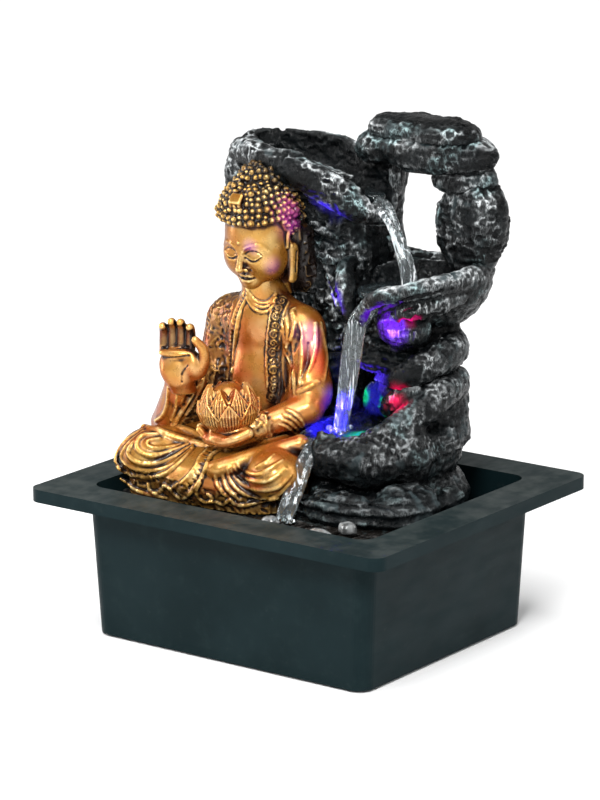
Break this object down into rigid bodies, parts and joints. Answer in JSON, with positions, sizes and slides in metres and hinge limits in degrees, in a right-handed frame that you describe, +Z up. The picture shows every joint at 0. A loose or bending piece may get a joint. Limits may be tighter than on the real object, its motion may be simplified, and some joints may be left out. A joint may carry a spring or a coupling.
{
  "type": "tabletop water fountain",
  "caption": "Indoor fountain: a seated gold figure and dark rockwork with cascading bowls and a stone arch, lit from inside, over a plastic basin with a submersible pump.",
  "frame": {"origin": "centre of the basin's footprint, on the surface it stands on", "axes": "+X along the basin's long front towards the arch side, +Y towards the back, +Z up; the figure faces -Y"},
  "size_m": [0.21, 0.18, 0.257],
  "materials": {
    "basin_plastic": "satin",
    "black_rubber": "matte",
    "pump_plastic": "satin",
    "white_plastic": "satin",
    "red_plastic": "satin",
    "ferrite": "matte",
    "ceramic_rod": "polished",
    "lamination_steel": "satin",
    "copper_winding": "gloss",
    "rock_resin": "satin",
    "gold_resin": "satin",
    "river_stone": "gloss",
    "clear_tube": "gloss",
    "light_plastic": "satin",
    "circuit_board": "satin",
    "light_chip": "gloss",
    "clear_lens": "gloss"
  },
  "bodies": {
    "root": {"basin": "basin_plastic", "basin_feet": "black_rubber", "cable_grommet": "black_rubber", "pump_housing": "pump_plastic", "pump_cover": "pump_plastic", "pump_o_ring": "black_rubber", "outlet_nozzle": "pump_plastic", "pump_shaft": "ceramic_rod", "front_bush": "black_rubber", "rear_bush": "black_rubber", "stator_core": "lamination_steel", "stator_coil": "copper_winding", "suction_cups": "black_rubber"},
    "rotor": {"impeller": "white_plastic", "rotor_magnet": "ferrite"},
    "strainer_body": {"strainer": "pump_plastic"},
    "slider_body": {"flow_slider": "red_plastic"},
    "sculpture": {"base_plate": "rock_resin", "base_rocks": "rock_resin", "foot_rock": "rock_resin", "lower_bowl": "rock_resin", "column_lower": "rock_resin", "column_upper": "rock_resin", "middle_bowl": "rock_resin", "back_rock_lower": "rock_resin", "back_rock_upper": "rock_resin", "upper_bowl": "rock_resin", "arch_abutment": "rock_resin", "arch_pillar": "rock_resin", "neck_stone": "rock_resin", "arch_slab": "rock_resin", "cap_stone": "rock_resin", "figure_legs": "gold_resin", "figure_torso": "gold_resin", "figure_head": "gold_resin", "raised_forearm": "gold_resin", "lotus_bud": "gold_resin", "pebbles": "river_stone", "riser_hose": "clear_tube", "led_housing": "light_plastic", "led_board": "circuit_board", "led_chips": "light_chip", "led_lens": "clear_lens", "led_seal": "black_rubber", "led_lead": "light_plastic", "led_connector": "light_plastic"}
  },
  "joints": [
    {"name": "sculpture_lift", "type": "slide", "parent": "root", "child": "sculpture", "axis": [0, 0, 1], "range_m": [0, 0.12]},
    {"name": "rotor_spin", "type": "hinge", "parent": "root", "child": "rotor", "pos_m": [-0.024, 0.027, 0.03], "axis": [0, 1, 0], "continuous": true},
    {"name": "strainer_pull", "type": "slide", "parent": "root", "child": "strainer_body", "axis": [0, -1, 0], "range_m": [0, 0.026]},
    {"name": "flow_adjust", "type": "slide", "parent": "strainer_body", "child": "slider_body", "axis": [1, 0, 0], "range_m": [0, 0.006]}
  ]
}
